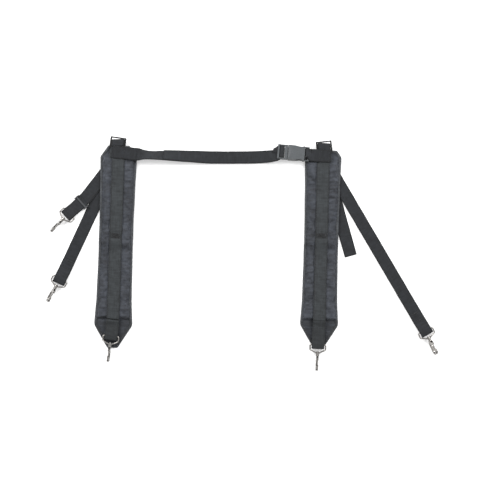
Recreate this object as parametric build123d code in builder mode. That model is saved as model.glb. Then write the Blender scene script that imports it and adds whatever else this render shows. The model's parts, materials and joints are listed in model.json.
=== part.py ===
from build123d import *
from math import atan2, cos, degrees, radians, sin
import os

# Padded tool-belt suspender harness, laid out flat on its back.
#
# Two padded shoulder straps stand side by side along Y, joined at the top by a chest
# strap with a side-release buckle. A rectangular adjuster at the top of each pad carries
# the webbing of the back straps, which come out from under the pads. Five swivel snap
# hooks end the straps: two under the pads, two on the left and one on the right.
#
# Millimetres. X runs along the chest strap, Y towards the adjusters, Z up from the floor.

os.makedirs("parts", exist_ok=True)

# ---------------------------------------------------------------- driving sizes
# Webbing, the same on every strap
web_width = 25.0
web_thick = 1.6
web_bend = 2.2            # inner bend of the webbing's middle line where it changes level
bar_play = 0.2            # radial play between webbing and the bar that it goes round
layer_gap = 0.2           # air between two layers of webbing that aren't sewn together
hem_press = 0.1           # how far the stitches press a doubled layer into the one below
soft_gap = 0.5            # air between the back straps and the pad above them

# Shoulder pads, in their own plan: s runs up the pad, and half widths go across it
pad_waist = 34.0
pad_top_half = 36.3
pad_top_shoulder = 193.0
pad_top_slope = 0.65      # half width lost for each mm above the top shoulder
pad_foot_half = 38.0
pad_foot_shoulder = -142.0
pad_tip_half = 10.0
pad_tip = -188.5
pad_corner = 2.5
foam_thick = 8.3
foam_end = -128.5
cover_thick = 0.9
lining_thick = 0.8
binding_width = 4.0
binding_thick = 2.5
dome_inset = 8.0          # edge of the pad to the raised part of its cover
dome_top_inset = 20.0
dome_foot_corner = 6.0
ramp_start = 5.0          # below this the pad lies on the floor
ramp_end = 26.0           # above this it lies over the back straps
tack_length = 10.0
tack_thick = 0.5
strip_foot = 4.0          # face webbing: from the end of the foam to where it leaves the pad
strip_head = 16.0         # and from the adjuster's lower bar to where it leaves the pad

# Where the two pads lie: the middle of each at Y 0, its lean, and its top edge
left_pad_x = -252.9
left_lean = 2.0
right_pad_x = 158.3
right_lean = 1.4

# Rectangular adjusters at the tops of the pads
bar_radius = 1.4
bar_pitch = 10.2
rail_width = 3.2
rail_play = 0.2
bar_press = 0.1           # air between the edge binding and the webbing round the lower bar
saddle_reach = 26.0       # its two layers, from the lower bar back under the pad
left_top_bar = (-246.0, 231.7)
left_adjuster_turn = -8.0
right_top_bar = (163.5, 223.7)
right_adjuster_turn = 6.0

# Back straps: each swings about a pivot under the pad
pivot_y = 193.0
left_pivot_x = -250.0
right_pivot_x = 163.9
pivot_play = 0.3
short_strap_heading = 37.6
short_strap_kink = 107.0
short_strap_end_heading = 48.5
short_strap_end = 40.5
slider_from_kink = 8.0
slider_length = 11.0
slider_bar = 1.5
slider_bar_width = 3.0
slider_rail = 2.4
left_long_heading = 24.9
left_long_length = 268.4
right_long_heading = -30.4
right_long_length = 401.9
tail_heading = -15.5
tail_length = 204.9
hem_length = 42.0
hem_slack = 1.2           # empty room in a hem beyond the hook's bar
front_slack = 5.5         # the same at the foot of a pad
side_hook_heading = 45.0
left_rear_heading = 30.0
right_rear_heading = -25.0
left_front_heading = 7.0
right_front_heading = 3.0
left_front_at = -164.6    # bars of the front hooks, along their pads
right_front_at = -182.0
side_hook_roll = 15.0     # how far each hook lies over from standing on edge
left_rear_roll = 22.0
right_rear_roll = 18.0

# Snap hooks
hook_bar_radius = 1.5
hook_bar_inside = 28.0
hook_length = 52.6        # from the middle of the loop's bar to the tip
hook_height = 15.4
hook_stock = 3.2
hook_thick = 4.4
barrel_radius = 3.2
loop_straight = 10.5      # straight sides of the loop, before they close in on the barrel
barrel_start = 14.6
barrel_length = 6.0
post_radius = 1.6
post_play = 0.1
head_radius = 2.6
head_length = 1.6
collar_length = 2.0
loop_bend = 2.4           # bends of the loop's wire, at the bar and where it closes in
loop_shoulder = 4.0
gate_thick = 2.0
gate_slot = 2.4
gate_pin_radius = 1.0
gate_pin_play = 0.05
spring_thick = 0.35
spring_width = 1.6
hook_floor_gap = 0.2      # floor to the lowest edge of a hook that stands on edge

# Side-release buckle and chest strap
buckle_start = (71.5, 204.2, 12.0)
buckle_turn = -5.4
buckle_roll = 15.0
buckle_half = 15.0
slot_play = 0.4
male_plate_start = 14.5
male_length = 21.0
mouth_gap = 0.3
housing_end = 54.0
housing_half_height = 5.3
buckle_wall = 2.1
buckle_bar_radius = 1.6
male_bar_at = 9.6
female_bar_at = 61.5
female_length = 63.4
male_depth = 6.0
lip_length = 3.4          # raised lip across the start of the male frame
lip_low = 1.0
lip_height = 2.4
guide_length = 25.0
guide_width = 5.2
guide_depth = 4.0
arm_depth = 4.8
female_depth = 4.4        # the open frame behind the housing
cavity_end = 50.0
cavity_width = 22.4
window_at = 43.0          # side windows where the spring arms are pressed
window_length = 11.0
window_depth = 5.6
housing_corner = 0.6
fold_lead = 4.0           # webbing beyond the female bar, before it turns towards the pad
sewn_start = (144.0, 196.6)
sewn_end = (178.0, 194.3)
chest_hinge_x = -209.0
chest_hinge_y = 198.4
chest_hinge_gap = 0.95
tab_length = 53.0
tab_turn = -6.0
tail_tip_x = -156.5

# ---------------------------------------------------------------- worked-out sizes
half_web = web_thick / 2
level_1 = half_web                                  # middle of the lowest webbing layer
level_2 = level_1 + web_thick + layer_gap
pad_lift = level_2 + half_web + soft_gap            # underside of the pad over the straps
pad_face = lining_thick + foam_thick + cover_thick  # face of the pad above its underside
strip_mid = pad_face + half_web                     # middle of the face webbing, pad flat
adjuster_wrap = bar_radius + bar_play + half_web
adjuster_z = pad_lift + binding_thick + bar_press + adjuster_wrap + half_web
hook_z = hook_height / 2 + hook_floor_gap
hook_wrap = hook_bar_radius + bar_play + half_web
tab_z = pad_lift + pad_face + web_thick + half_web  # middle of what is sewn on the strip
doubled = web_thick - hem_press                     # step up to a layer sewn on another
up = Vector(0, 0, 1)


# ---------------------------------------------------------------- helpers
def save(piece, label):
    """Name a finished piece and write it."""
    piece.part.label = label
    export_step(piece.part, f"parts/{label}.step")


def way(heading):
    """Unit vector in plan, heading degrees from -Y towards -X."""
    return Vector(-sin(radians(heading)), -cos(radians(heading)), 0)


def side_plane(x, y, heading):
    """Upright plane through (x, y): its x runs along the heading and its y is up."""
    along = way(heading)
    return Plane(origin=(x, y, 0), x_dir=along, z_dir=along.cross(up))


def along(x, y, heading, distance):
    """The point a distance along a heading from (x, y)."""
    end = Vector(x, y, 0) + way(heading) * distance
    return end.X, end.Y


def course(*points):
    """The middle line of a webbing, bent gently where it changes level."""
    if len(points) == 2:
        return Line(*points)
    return FilletPolyline(*points, radius=web_bend)


def flat_run(plane, points):
    """A flat band of webbing that follows points (distance, height of its middle)."""
    with BuildPart() as piece:
        with BuildSketch(plane):
            with BuildLine():
                course(*points)
            trace(line_width=web_thick)
        extrude(amount=web_width / 2, both=True)
    return piece


def looped_run(plane, lower, bar, wrap, upper, slack=0.0):
    """Webbing that comes along lower, goes round a bar and goes back along upper."""
    fold = bar[0] + slack
    fold_top = (fold, bar[1] + wrap)
    with BuildPart() as piece:
        with BuildSketch(plane):
            with BuildLine():
                course(*lower, (fold, bar[1] - wrap))
                ThreePointArc((fold, bar[1] - wrap), (fold + wrap, bar[1]), fold_top)
            trace(line_width=web_thick)
        extrude(amount=web_width / 2, both=True)
        with BuildSketch(plane):
            with BuildLine():
                sewn_corner = [web_bend] * (len(upper) - 2) + [0]
                FilletPolyline(fold_top, *upper, radius=sewn_corner)
            trace(line_width=web_thick)
        extrude(amount=web_width / 2, both=True)
    return piece


# ---------------------------------------------------------------- shoulder pads
def pad_outline(top, inset=0.0):
    """Plan of a pad as a face: shoulders, a gentle waist and a tapered foot."""
    top_half = pad_top_half - pad_top_slope * (top - pad_top_shoulder)
    with BuildSketch() as plan:
        with BuildLine():
            Line((0, top), (top_half, top))
            Line((top_half, top), (pad_top_half, pad_top_shoulder))
            ThreePointArc((pad_top_half, pad_top_shoulder), (pad_waist, 60), (pad_waist + 1.2, -95))
            Line((pad_waist + 1.2, -95), (pad_foot_half, pad_foot_shoulder))
            Line((pad_foot_half, pad_foot_shoulder), (pad_tip_half, pad_tip))
            Line((pad_tip_half, pad_tip), (0, pad_tip))
            mirror(about=Plane.YZ)
        make_face()
        fillet(plan.vertices(), pad_corner)
        if inset:
            offset(amount=-inset, mode=Mode.REPLACE)
    return plan.sketch


def pad_slice(plan_plane, outline, low, high):
    """The plan outline between two heights above the pad's underside, ramp included."""
    far = pad_top_shoulder - pad_tip
    with BuildPart() as piece:
        with BuildSketch(plan_plane):
            add(outline)
        extrude(amount=far)
        across = Plane(origin=plan_plane.origin, x_dir=plan_plane.y_dir, z_dir=plan_plane.x_dir)
        with BuildSketch(across):
            with BuildLine():
                Polyline(
                    (-far, low), (ramp_start, low), (ramp_end, low + pad_lift), (far, low + pad_lift),
                    (far, high + pad_lift), (ramp_end, high + pad_lift), (ramp_start, high), (-far, high),
                    close=True,
                )
            make_face()
        extrude(amount=far, both=True, mode=Mode.INTERSECT)
    return piece


def make_pad(side, pad_x, lean, top_bar, turn, hook_at, hook_heading):
    """One shoulder pad and all that is sewn to it; returns where its hook hangs."""
    tilt = Vector(-sin(radians(turn)), cos(radians(turn)), 0)
    lower_bar = Vector(top_bar[0], top_bar[1], 0) - tilt * (2 * bar_pitch)
    top = lower_bar.Y
    axis = Vector(sin(radians(lean)), cos(radians(lean)), 0)
    plan = Plane(origin=(pad_x, 0, 0), x_dir=(axis.Y, -axis.X, 0), z_dir=(0, 0, 1))

    inner = pad_outline(top, binding_width)
    with BuildPart() as binding:
        add(pad_slice(plan, pad_outline(top), 0, binding_thick).part)
        add(pad_slice(plan, inner, -cover_thick, binding_thick + cover_thick).part, mode=Mode.SUBTRACT)
    save(binding, f"{side}_pad_edge_binding")

    lining = pad_slice(plan, inner, 0, lining_thick)
    save(lining, f"{side}_pad_lining")

    dome_top = top - dome_top_inset
    with BuildSketch() as keep:
        with Locations((0, (dome_top + foam_end) / 2)):
            Rectangle(3 * pad_waist, dome_top - foam_end)
    with BuildSketch() as dome_plan:
        add(pad_outline(top, dome_inset))
        add(keep.sketch, mode=Mode.INTERSECT)
        fillet(dome_plan.vertices().group_by(Axis.Y)[0], dome_foot_corner)
    with BuildSketch() as foam_plan:
        add(dome_plan.sketch)
        offset(amount=-cover_thick, mode=Mode.REPLACE)

    foam = pad_slice(plan, foam_plan.sketch, lining_thick, lining_thick + foam_thick)
    save(foam, f"{side}_pad_foam")

    with BuildPart() as cover:
        add(pad_slice(plan, dome_plan.sketch, lining_thick, pad_face).part)
        add(pad_slice(plan, inner, lining_thick, lining_thick + cover_thick).part)
        add(foam.part, mode=Mode.SUBTRACT)
    save(cover, f"{side}_pad_cover")

    # Face webbing: a middle run on the pad, and a loop at each end
    low_s = foam_end - strip_foot
    high_s = top - strip_head
    low_x, low_y = plan.from_local_coords((0, low_s)).X, plan.from_local_coords((0, low_s)).Y
    with BuildSketch() as strip_plan:
        with Locations((0, (low_s + high_s) / 2)):
            Rectangle(web_width, high_s - low_s + strip_foot)
    middle = pad_slice(plan, strip_plan.sketch, pad_face, pad_face + web_thick)
    reach = low_s - hook_at
    foot_z = binding_thick + layer_gap + half_web
    foot = looped_run(
        side_plane(low_x, low_y, hook_heading),
        [(reach - 22, foot_z), (reach - 12, foot_z), (reach - 5, hook_z - hook_wrap)],
        (reach, hook_z), hook_wrap,
        [(reach - 3, hook_z + hook_wrap), (6, strip_mid), (-2, strip_mid)], front_slack,
    )
    head = looped_run(
        Plane(origin=lower_bar, x_dir=tilt, z_dir=tilt.cross(up)),
        [(-7, adjuster_z - adjuster_wrap)],
        (0, adjuster_z), adjuster_wrap,
        [(-3, adjuster_z + adjuster_wrap), (-11, strip_mid + pad_lift), (-20, strip_mid + pad_lift)],
    )
    with BuildPart() as strip:
        add(middle.part)
        add(foot.part)
        add(head.part)
    save(strip, f"{side}_pad_face_webbing")

    with BuildPart() as tack:
        with BuildSketch(plan.offset(strip_mid + half_web + pad_lift)):
            with Locations((0, ramp_end + tack_length)):
                Rectangle(web_width, tack_length)
        extrude(amount=tack_thick)
    save(tack, f"{side}_pad_bar_tack")

    return along(low_x, low_y, hook_heading, reach)


# ---------------------------------------------------------------- adjusters
def make_adjuster(side, top_bar, turn, pivot_x):
    """A three-bar rectangular adjuster and the webbing that hangs over its middle bar."""
    tilt = Vector(-sin(radians(turn)), cos(radians(turn)), 0)
    lower_bar = Vector(top_bar[0], top_bar[1], 0) - tilt * (2 * bar_pitch)
    plan = Plane(origin=lower_bar, x_dir=(tilt.Y, -tilt.X, 0), z_dir=(0, 0, 1))
    upright = Plane(origin=lower_bar, x_dir=tilt, z_dir=tilt.cross(up))
    rail_mid = web_width / 2 + rail_play + rail_width / 2

    with BuildPart() as frame:
        with BuildSketch(upright):
            with Locations(*[(bar_pitch * n, adjuster_z) for n in range(3)]):
                Circle(bar_radius)
        extrude(amount=rail_mid, both=True)
        with BuildSketch(plan.offset(adjuster_z)):
            with Locations((-rail_mid, bar_pitch), (rail_mid, bar_pitch)):
                RectangleRounded(rail_width, 2 * bar_pitch + 2 * bar_radius, rail_width / 2 - 0.1)
        extrude(amount=bar_radius, both=True)
    save(frame, f"{side}_adjuster")

    out_at = bar_pitch + adjuster_wrap
    in_at = bar_pitch - adjuster_wrap
    with BuildPart() as saddle:
        with BuildSketch(upright):
            with BuildLine():
                FilletPolyline((-saddle_reach, level_1), (out_at, level_1), (out_at, adjuster_z), radius=web_bend)
                ThreePointArc((out_at, adjuster_z), (bar_pitch, adjuster_z + adjuster_wrap), (in_at, adjuster_z))
                FilletPolyline((in_at, adjuster_z), (in_at, level_2), (-saddle_reach, level_2), radius=web_bend)
            trace(line_width=web_thick)
        extrude(amount=web_width / 2, both=True)
        pivot = plan.to_local_coords(Vector(pivot_x, pivot_y, 0))
        with BuildSketch(plan):
            with Locations((pivot.X, pivot.Y)):
                Circle(web_width / 2 + pivot_play)
            with Locations((0, pivot.Y + 0.4 * web_width)):
                Rectangle(2 * web_width, 4 * saddle_reach, align=(Align.CENTER, Align.MAX))
        extrude(amount=level_2 + web_thick, mode=Mode.SUBTRACT)
    save(saddle, f"{side}_adjuster_webbing")


# ---------------------------------------------------------------- back straps
def pivot_end(pivot_x, level):
    """The round end of a back strap at its pivot."""
    with BuildPart() as piece:
        with BuildSketch(Plane.XY.offset(level - half_web)):
            with Locations((pivot_x, pivot_y)):
                Circle(web_width / 2)
        extrude(amount=web_thick)
    return piece


def make_hooked_strap(label, pivot_x, heading, length, level):
    """A long back strap, flat on its level, folded round its hook and hemmed."""
    run = looped_run(
        side_plane(pivot_x, pivot_y, heading),
        [(0, level), (length - 16, level), (length - 6, hook_z - hook_wrap)],
        (length, hook_z), hook_wrap,
        [(length - 4, hook_z + hook_wrap), (length - 22, level + doubled),
         (length - hem_length, level + doubled)],
        hem_slack,
    )
    with BuildPart() as strap:
        add(run.part)
        add(pivot_end(pivot_x, level).part)
    save(strap, label)
    return along(pivot_x, pivot_y, heading, length)


def make_short_strap():
    """The short left strap: flat to the kink, then doubled through its slider."""
    kink = along(left_pivot_x, pivot_y, short_strap_heading, short_strap_kink)
    main_z = level_2 + web_thick
    back_z = main_z + doubled
    first = flat_run(
        side_plane(left_pivot_x, pivot_y, short_strap_heading),
        [(0, level_2), (short_strap_kink - 17, level_2), (short_strap_kink - 7, main_z),
         (short_strap_kink + 3, main_z)],
    )
    end = short_strap_end
    second = looped_run(
        side_plane(kink[0], kink[1], short_strap_end_heading),
        [(-4, main_z), (end - 10, main_z), (end - 5, hook_z - hook_wrap)],
        (end, hook_z), hook_wrap,
        [(end - 3, hook_z + hook_wrap), (end - 14, back_z), (1, back_z)],
        hem_slack,
    )
    with BuildPart() as strap:
        add(first.part)
        add(second.part)
        add(pivot_end(left_pivot_x, level_2).part)
    save(strap, "left_short_back_strap")

    # The slider: two bars under the webbing, one over it, joined by side rails
    plane = side_plane(kink[0], kink[1], short_strap_end_heading)
    inside = web_width / 2 + rail_play
    under = level_1 + half_web + layer_gap
    floor = main_z - half_web - layer_gap
    roof = back_z + half_web + layer_gap
    over = roof + slider_bar
    with BuildPart() as slider:
        with BuildSketch(plane):
            with Locations((slider_from_kink, (under + over) / 2)):
                Rectangle(slider_length, over - under)
        extrude(amount=inside + slider_rail, both=True)
        with BuildSketch(plane):
            with Locations((slider_from_kink, (floor + roof) / 2)):
                Rectangle(slider_length + 1, roof - floor)
            with Locations((slider_from_kink, (under + floor) / 2)):
                Rectangle(slider_length - 2 * slider_bar_width, floor - under)
            reach = (slider_length + slider_bar_width) / 4 + 0.5
            with Locations(
                (slider_from_kink - reach, (roof + over) / 2), (slider_from_kink + reach, (roof + over) / 2)
            ):
                Rectangle((slider_length - slider_bar_width) / 2 + 1, over - roof)
        extrude(amount=inside, both=True, mode=Mode.SUBTRACT)
    save(slider, "left_strap_slider")
    return along(kink[0], kink[1], short_strap_end_heading, end)


def make_strap_tail():
    """The free tail of the right back strap, flat on the floor with a cut end."""
    run = flat_run(side_plane(right_pivot_x, pivot_y, tail_heading), [(0, level_1), (tail_length, level_1)])
    with BuildPart() as strap:
        add(run.part)
        add(pivot_end(right_pivot_x, level_1).part)
    save(strap, "right_back_strap_tail")


# ---------------------------------------------------------------- snap hooks
def make_hook(label, bar, heading, roll):
    """A swivel snap hook: its wire loop on the bar, then the hook, gate, pin and spring."""
    along_hook = way(heading)
    across = along_hook.cross(up)
    origin = Vector(bar[0], bar[1], hook_z)
    flat = Plane(origin=origin, x_dir=along_hook, z_dir=(0, 0, 1))
    rolled = across * cos(radians(roll)) + up * sin(radians(roll))
    edge = Plane(origin=origin, x_dir=along_hook, z_dir=rolled)
    section = Plane(origin=origin, x_dir=across, z_dir=along_hook)

    bar_half = hook_bar_inside / 2 + hook_bar_radius
    barrel_mid = barrel_start + barrel_length / 2
    with BuildPart() as loop:
        with BuildLine(flat):
            FilletPolyline(
                (0, 0), (0, bar_half), (loop_straight, bar_half), (barrel_mid - 1, barrel_radius - 0.5),
                radius=(loop_bend, loop_shoulder),
            )
        with BuildSketch(Plane(origin=origin, x_dir=along_hook, z_dir=across * -1)):
            Circle(hook_bar_radius)
        sweep()
        mirror(about=Plane(origin=origin, x_dir=along_hook, z_dir=across))
        with BuildSketch(section.offset(barrel_start)):
            Circle(barrel_radius)
        extrude(amount=barrel_length)
        with BuildSketch(section.offset(barrel_start - 4)):
            Circle(post_radius + post_play)
        extrude(amount=barrel_length + 8, mode=Mode.SUBTRACT)
    save(loop, f"{label}_loop")

    collar_at = barrel_start + barrel_length + post_play
    neck_at = collar_at + collar_length
    half = hook_height / 2
    inner = half - hook_stock
    bowl_at = hook_length - half
    pin_at = (neck_at + 5.6, inner + 0.5)
    gate_end = (bowl_at - 1.6, inner - 1.6)
    with BuildPart() as body:
        with BuildSketch(edge) as profile:
            with BuildLine():
                Polyline(
                    (bowl_at, -half), (neck_at + 5, -half), (neck_at, -2.6), (neck_at, 2.6),
                    (neck_at + 3.6, half - 0.4), (neck_at + 8.2, half - 0.4), (neck_at + 8.2, -inner),
                    (bowl_at, -inner),
                )
                ThreePointArc((bowl_at, -inner), (bowl_at + inner, 0), (bowl_at, inner))
                Line((bowl_at, inner), (bowl_at - 4.6, inner))
                Line((bowl_at - 4.6, inner), (bowl_at - 3.4, half))
                Line((bowl_at - 3.4, half), (bowl_at, half))
                ThreePointArc((bowl_at, half), (hook_length, 0), (bowl_at, -half))
            make_face()
        extrude(amount=hook_thick / 2, both=True)
        with BuildSketch(edge):
            with Locations((pin_at[0] + 1, pin_at[1] + 2)):
                Rectangle(8.4, 10)
        extrude(amount=gate_slot / 2, both=True, mode=Mode.SUBTRACT)
        with BuildSketch(edge):
            with Locations(pin_at):
                Circle(gate_pin_radius)
        extrude(amount=hook_thick, both=True, mode=Mode.SUBTRACT)
        with BuildSketch(section.offset(collar_at)):
            Circle(barrel_radius + 0.2)
        extrude(amount=collar_length)
        with BuildSketch(section.offset(collar_at - post_play - barrel_length - 0.2)):
            Circle(post_radius)
        extrude(amount=barrel_length + 0.5)
        with BuildSketch(section.offset(barrel_start - post_play - head_length)):
            Circle(head_radius)
        extrude(amount=head_length)
    save(body, f"{label}_body")

    with BuildPart() as pin:
        with BuildSketch(edge):
            with Locations(pin_at):
                Circle(gate_pin_radius)
        extrude(amount=hook_thick / 2, both=True)
    save(pin, f"{label}_gate_pin")

    lever = Vector(gate_end[0] - pin_at[0], gate_end[1] - pin_at[1])
    lever_turn = degrees(atan2(lever.Y, lever.X))
    with BuildPart() as gate:
        with BuildSketch(edge):
            with Locations(((pin_at[0] + gate_end[0]) / 2, (pin_at[1] + gate_end[1]) / 2)):
                SlotOverall(lever.length + 2, 2, rotation=lever_turn)
            with Locations(pin_at):
                Circle(1.9)
            with Locations(((pin_at[0] * 0.55 + gate_end[0] * 0.45), inner + 0.3)):
                SlotOverall(5.2, 2.4)
        extrude(amount=gate_thick / 2, both=True)
        with BuildSketch(edge):
            with Locations(pin_at):
                Circle(gate_pin_radius + gate_pin_play)
        extrude(amount=gate_thick, both=True, mode=Mode.SUBTRACT)
    save(gate, f"{label}_gate")

    with BuildPart() as spring:
        with BuildSketch(edge):
            with BuildLine():
                ThreePointArc((neck_at + 8.2, -1.2), (neck_at + 11.6, -0.6), (neck_at + 14.2, inner - 1.95))
            trace(line_width=spring_thick)
        extrude(amount=spring_width / 2, both=True)
    save(spring, f"{label}_gate_spring")


# ---------------------------------------------------------------- buckle and chest strap
turn_way = Vector(cos(radians(buckle_turn)), sin(radians(buckle_turn)), 0)
turn_side = Vector(-turn_way.Y, turn_way.X, 0)
buckle_side = turn_side * cos(radians(buckle_roll)) - up * sin(radians(buckle_roll))
buckle_up = turn_side * sin(radians(buckle_roll)) + up * cos(radians(buckle_roll))
buckle_origin = Vector(*buckle_start)
buckle_plan = Plane(origin=buckle_origin, x_dir=turn_way, z_dir=buckle_up)
buckle_edge = Plane(origin=buckle_origin, x_dir=turn_way, z_dir=turn_way.cross(buckle_up))
buckle_wrap = buckle_bar_radius + bar_play + half_web
rail_inner = web_width / 2 + slot_play
rail_outer = buckle_half


def make_male():
    """The male half: a strap frame with a bar, a plate, a guide rib and two spring arms."""
    with BuildPart() as frame:
        with BuildSketch(buckle_plan):
            Rectangle(male_length, 2 * rail_outer, align=(Align.MIN, Align.CENTER))
            Rectangle(male_plate_start, 2 * rail_inner, align=(Align.MIN, Align.CENTER), mode=Mode.SUBTRACT)
        extrude(amount=male_depth / 2, both=True)
        with BuildSketch(buckle_plan.offset(lip_low)):
            Rectangle(lip_length, 2 * rail_outer, align=(Align.MIN, Align.CENTER))
        extrude(amount=lip_height)
        with BuildSketch(buckle_edge):
            with Locations((male_bar_at, 0)):
                Circle(buckle_bar_radius)
        extrude(amount=rail_inner + 0.5, both=True)
        with BuildSketch(buckle_plan):
            with Locations((male_length, 0)):
                Rectangle(guide_length, guide_width, align=(Align.MIN, Align.CENTER))
        extrude(amount=guide_depth / 2, both=True)
    save(frame, "buckle_male_frame")

    with BuildPart() as arms:
        with BuildSketch(buckle_plan):
            with BuildLine():
                Polyline(
                    (male_length, 6.6), (36, 7.6), (47.5, 8.6), (49, 9.6), (47, 12.2), (40, 12.2),
                    (38.5, 10.4), (male_length, 9.4), close=True,
                )
            make_face()
            mirror(about=Plane.XZ)
        extrude(amount=arm_depth / 2, both=True)
    save(arms, "buckle_spring_arms")


def make_female():
    """The female half: a hollow housing with side windows and a bar for the strap."""
    start = male_length + mouth_gap
    with BuildPart() as housing:
        with BuildSketch(buckle_plan) as shell:
            with BuildLine():
                Polyline(
                    (start, 0), (start, buckle_half), (34, buckle_half), (44, 13.2), (48.5, 13.2), (52.5, 14.7),
                    (housing_end, 14.7), (housing_end, 0),
                )
                mirror(about=Plane.XZ)
            make_face()
        extrude(amount=housing_half_height, both=True)
        fillet(housing.edges().filter_by(Axis(buckle_origin, buckle_up)), housing_corner)
        with BuildSketch(buckle_plan):
            with Locations((start, 0)):
                Rectangle(cavity_end - start, cavity_width, align=(Align.MIN, Align.CENTER))
        extrude(amount=housing_half_height - buckle_wall, both=True, mode=Mode.SUBTRACT)
        with BuildSketch(buckle_plan):
            with Locations((window_at, buckle_half), (window_at, -buckle_half)):
                Rectangle(window_length, 2 * buckle_half / 3)
        extrude(amount=window_depth / 2, both=True, mode=Mode.SUBTRACT)
        with BuildSketch(buckle_plan):
            with Locations((housing_end - 1, 0)):
                Rectangle(female_length - housing_end + 1, 29.4, align=(Align.MIN, Align.CENTER))
            with Locations((housing_end, 0)):
                Rectangle(20, 2 * rail_inner, align=(Align.MIN, Align.CENTER), mode=Mode.SUBTRACT)
        extrude(amount=female_depth / 2, both=True)
        with BuildSketch(buckle_edge):
            with Locations((female_bar_at, 0)):
                Circle(buckle_bar_radius)
        extrude(amount=rail_inner + 0.5, both=True)
    save(housing, "buckle_female_housing")


def rolled_section(x, y, z, roll, rise=0.0, turn=0.0):
    """Plane of a cross section of the chest strap, rise mm above its main layer."""
    ahead = Vector(cos(radians(turn)), sin(radians(turn)), 0)
    beside = Vector(-ahead.Y, ahead.X, 0)
    side = beside * cos(radians(roll)) - up * sin(radians(roll))
    over = beside * sin(radians(roll)) + up * cos(radians(roll))
    return Plane(origin=Vector(x, y, z) + over * rise, x_dir=side, z_dir=ahead)


def make_chest_strap():
    """The long chest strap: one layer, then doubled by its tail, rolled as it lies."""
    lay = web_thick + layer_gap
    root = buckle_origin + turn_way * -5 + buckle_up * -lay
    single = [
        (chest_hinge_x, chest_hinge_y, tab_z, 0, 0),
        (chest_hinge_x + 2.5, chest_hinge_y - 0.1, tab_z - 0.2, 0, 0),
        (chest_hinge_x + 11, 197.9, tab_z - 1.8, 36, 0),
        (-180, 196.8, 12.0, 44, 0),
    ]
    with_tail = [
        (tail_tip_x, 196.5, 10.4, 38, 0),
        (-125, 195.2, 7.6, 28, 0),
        (-95, 194.0, 5.2, 18, 0),
        (-62, 192.8, 1.4, 2, 0),
        (38, 193.3, 1.4, 2, 0),
        (50, 194.7, 4.0, 7, 3),
        (59, 198.0, 7.4, 12, 0),
        (root.X, root.Y, root.Z, buckle_roll, buckle_turn),
    ]
    with BuildPart() as main:
        for x, y, z, roll, turn in single + with_tail:
            with BuildSketch(rolled_section(x, y, z, roll, 0, turn)):
                Rectangle(web_width, web_thick)
        loft(ruled=True)
    with BuildPart() as tail:
        for x, y, z, roll, turn in with_tail:
            with BuildSketch(rolled_section(x, y, z, roll, lay, turn)):
                Rectangle(web_width, web_thick)
        loft(ruled=True)
    with BuildPart() as wrap:
        with BuildSketch(buckle_edge):
            with BuildLine():
                FilletPolyline((-5, -lay), (1, -lay), (5, -buckle_wrap), (male_bar_at, -buckle_wrap), radius=web_bend)
                ThreePointArc(
                    (male_bar_at, -buckle_wrap), (male_bar_at + buckle_wrap, 0), (male_bar_at, buckle_wrap)
                )
                FilletPolyline((male_bar_at, buckle_wrap), (8.4, buckle_wrap), (4.6, 0), (-5, 0), radius=1.2)
            trace(line_width=web_thick)
        extrude(amount=web_width / 2, both=True)
    with BuildPart() as strap:
        add(main.part)
        add(tail.part)
        add(wrap.part)
    save(strap, "chest_strap")


def make_chest_tab():
    """The end of the chest strap that is sewn across the left pad."""
    turn = Vector(cos(radians(tab_turn)), sin(radians(tab_turn)), 0)
    with BuildPart() as tab:
        with BuildSketch(Plane(origin=(chest_hinge_x, chest_hinge_y, tab_z), x_dir=turn, z_dir=(0, 0, 1))):
            with Locations((3 - tab_length / 2, 0)):
                Rectangle(tab_length, web_width)
        extrude(amount=half_web, both=True)
        with BuildSketch(Plane.XY.offset(tab_z)):
            with Locations((chest_hinge_x - chest_hinge_gap, chest_hinge_y)):
                Rectangle(30, 60, align=(Align.MIN, Align.CENTER))
        extrude(amount=web_thick, both=True, mode=Mode.SUBTRACT)
    save(tab, "left_chest_tab")


def make_short_chest_strap():
    """The strap from the female bar on to the right pad, with its sewn end."""
    bar_end = buckle_origin + turn_way * (female_bar_at + fold_lead) + buckle_up * buckle_wrap
    with BuildPart() as bridge:
        with BuildSketch(rolled_section(bar_end.X, bar_end.Y, bar_end.Z, buckle_roll, 0, buckle_turn)):
            Rectangle(web_width, web_thick)
        with BuildSketch(rolled_section(*sewn_start, tab_z, 0)):
            Rectangle(web_width, web_thick)
        with BuildSketch(rolled_section(*sewn_end, tab_z, 0)):
            Rectangle(web_width, web_thick)
        loft(ruled=True)
    lean = buckle_wrap * cos(radians(45))
    with BuildPart() as loop:
        with BuildSketch(buckle_edge):
            with BuildLine():
                Line((female_bar_at + fold_lead, buckle_wrap), (female_bar_at, buckle_wrap))
                ThreePointArc(
                    (female_bar_at, buckle_wrap), (female_bar_at - buckle_wrap, 0), (female_bar_at + lean, -lean)
                )
                Line((female_bar_at + lean, -lean), (female_bar_at + lean + 3.2, -lean + 3.2))
            trace(line_width=web_thick)
        extrude(amount=web_width / 2, both=True)
    with BuildPart() as strap:
        add(bridge.part)
        add(loop.part)
    save(strap, "right_chest_strap")


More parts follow.
